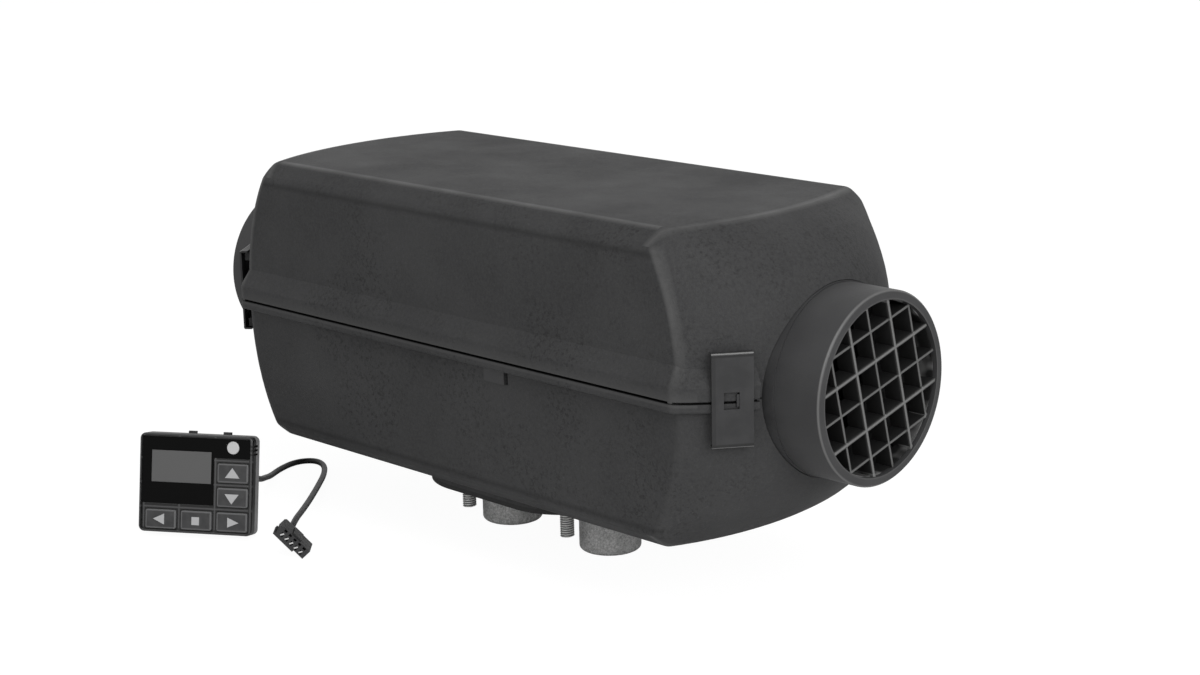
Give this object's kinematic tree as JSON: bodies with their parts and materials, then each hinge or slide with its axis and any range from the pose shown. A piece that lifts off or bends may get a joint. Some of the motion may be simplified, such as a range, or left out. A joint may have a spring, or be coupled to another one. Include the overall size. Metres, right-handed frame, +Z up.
{
  "type": "diesel air heater",
  "caption": "Diesel air heater: rounded two-part casing with clips, round air grilles at both ends, gas stubs and studs below, and a wired keypad controller.",
  "frame": {"origin": "centre of the four studs on the flat underside of the mounting gasket", "axes": "+X towards the warm-air outlet, +Z up out of the mounting face through the top of the casing, -Y towards the long side where the controller stands"},
  "size_m": [0.3504, 0.1925, 0.1575],
  "materials": {
    "casing": "fine grained matt black",
    "hood": "matt black",
    "clip": "satin black spring steel",
    "casting": "rough cast",
    "stud": "zinc plated",
    "steel": "heat-tinted sheet",
    "brass": "turned",
    "gasket": "soft matt",
    "fibre": "pressed fibre",
    "fan": "moulded",
    "unit": "moulded",
    "remote": "satin black",
    "key": "satin",
    "window": "gloss black",
    "display": "satin grey",
    "lens": "clear white",
    "board": "lacquered",
    "cable": "satin",
    "terminal": "tinned"
  },
  "bodies": {
    "heater": {"lower_casing": "casing", "outlet_hood": "hood", "outlet_grille": "hood", "inlet_hood": "hood", "inlet_grille": "hood", "heat_exchanger": "casting", "intake_stub": "casting", "exhaust_stub": "casting", "mounting_gasket": "gasket", "mounting_studs": "stud", "fuel_inlet_pipe": "stud", "burner_gasket": "fibre", "combustion_chamber": "steel", "flame_tube": "steel", "glow_plug": "brass", "atomizer_screen": "steel", "temperature_sensor": "brass", "sensor_clip": "stud", "blower_housing": "casting", "blower_cover": "steel", "blower_screws": "stud", "motor": "steel", "motor_bearings": "stud", "control_unit": "unit", "harness_blanking_plug": "hood", "harness_grommet": "gasket"},
    "upper_casing_body": {"upper_casing": "casing"},
    "rotor": {"rotor_shaft": "stud", "fan_wheel": "fan", "combustion_wheel": "fan"},
    "controller": {"controller_front": "remote", "controller_rear": "remote", "display_window": "window", "display_panel": "display", "indicator_lens": "lens", "controller_board": "board", "key_switches": "unit", "cable_boot": "cable", "controller_cable": "cable", "cable_connector": "remote", "connector_terminals": "terminal"},
    "clip_outlet_front_body": {"clip_outlet_front": "clip"},
    "clip_outlet_rear_body": {"clip_outlet_rear": "clip"},
    "clip_inlet_front_body": {"clip_inlet_front": "clip"},
    "clip_inlet_rear_body": {"clip_inlet_rear": "clip"},
    "key_up_body": {"key_up": "key"},
    "key_down_body": {"key_down": "key"},
    "key_left_body": {"key_left": "key"},
    "key_right_body": {"key_right": "key"},
    "key_ok_body": {"key_ok": "key"}
  },
  "joints": [
    {"name": "upper_casing_lift", "type": "slide", "parent": "heater", "child": "upper_casing_body", "axis": [0, 0, 1], "range_m": [0, 0.12]},
    {"name": "clip_outlet_front_swing", "type": "hinge", "parent": "upper_casing_body", "child": "clip_outlet_front_body", "pos_m": [0.14216, -0.04895, 0.08715], "axis": [-0.5948, -0.8039, 0], "range_deg": [0, 38]},
    {"name": "clip_outlet_rear_swing", "type": "hinge", "parent": "upper_casing_body", "child": "clip_outlet_rear_body", "pos_m": [0.14216, 0.04895, 0.08715], "axis": [0.5948, -0.8039, 0], "range_deg": [0, 38]},
    {"name": "clip_inlet_front_swing", "type": "hinge", "parent": "upper_casing_body", "child": "clip_inlet_front_body", "pos_m": [-0.14416, -0.04895, 0.08715], "axis": [-0.5948, 0.8039, 0], "range_deg": [0, 38]},
    {"name": "clip_inlet_rear_swing", "type": "hinge", "parent": "upper_casing_body", "child": "clip_inlet_rear_body", "pos_m": [-0.14416, 0.04895, 0.08715], "axis": [0.5948, 0.8039, 0], "range_deg": [0, 38]},
    {"name": "rotor_spin", "type": "hinge", "parent": "heater", "child": "rotor", "pos_m": [-0.091, 0, 0.068], "axis": [1, 0, 0], "continuous": true},
    {"name": "controller_pull", "type": "slide", "parent": "heater", "child": "controller", "axis": [0.5314, -0.8471, 0], "range_m": [0, 0.12]},
    {"name": "key_up_press", "type": "slide", "parent": "controller", "child": "key_up_body", "axis": [-0.5178, 0.8254, -0.225], "range_m": [0, 0.0008], "stiffness_N_per_m": 1500, "springref_m": -0.0003},
    {"name": "key_down_press", "type": "slide", "parent": "controller", "child": "key_down_body", "axis": [-0.5178, 0.8254, -0.225], "range_m": [0, 0.0008], "stiffness_N_per_m": 1500, "springref_m": -0.0003},
    {"name": "key_left_press", "type": "slide", "parent": "controller", "child": "key_left_body", "axis": [-0.5178, 0.8254, -0.225], "range_m": [0, 0.0008], "stiffness_N_per_m": 1500, "springref_m": -0.0003},
    {"name": "key_right_press", "type": "slide", "parent": "controller", "child": "key_right_body", "axis": [-0.5178, 0.8254, -0.225], "range_m": [0, 0.0008], "stiffness_N_per_m": 1500, "springref_m": -0.0003},
    {"name": "key_ok_press", "type": "slide", "parent": "controller", "child": "key_ok_body", "axis": [-0.5178, 0.8254, -0.225], "range_m": [0, 0.0008], "stiffness_N_per_m": 1500, "springref_m": -0.0003}
  ],
  "couplings": [
    {"joint": "clip_outlet_front_swing", "follows": "upper_casing_lift", "rad_per_m": 5.5},
    {"joint": "clip_outlet_rear_swing", "follows": "upper_casing_lift", "rad_per_m": 5.5},
    {"joint": "clip_inlet_front_swing", "follows": "upper_casing_lift", "rad_per_m": 5.5},
    {"joint": "clip_inlet_rear_swing", "follows": "upper_casing_lift", "rad_per_m": 5.5}
  ]
}
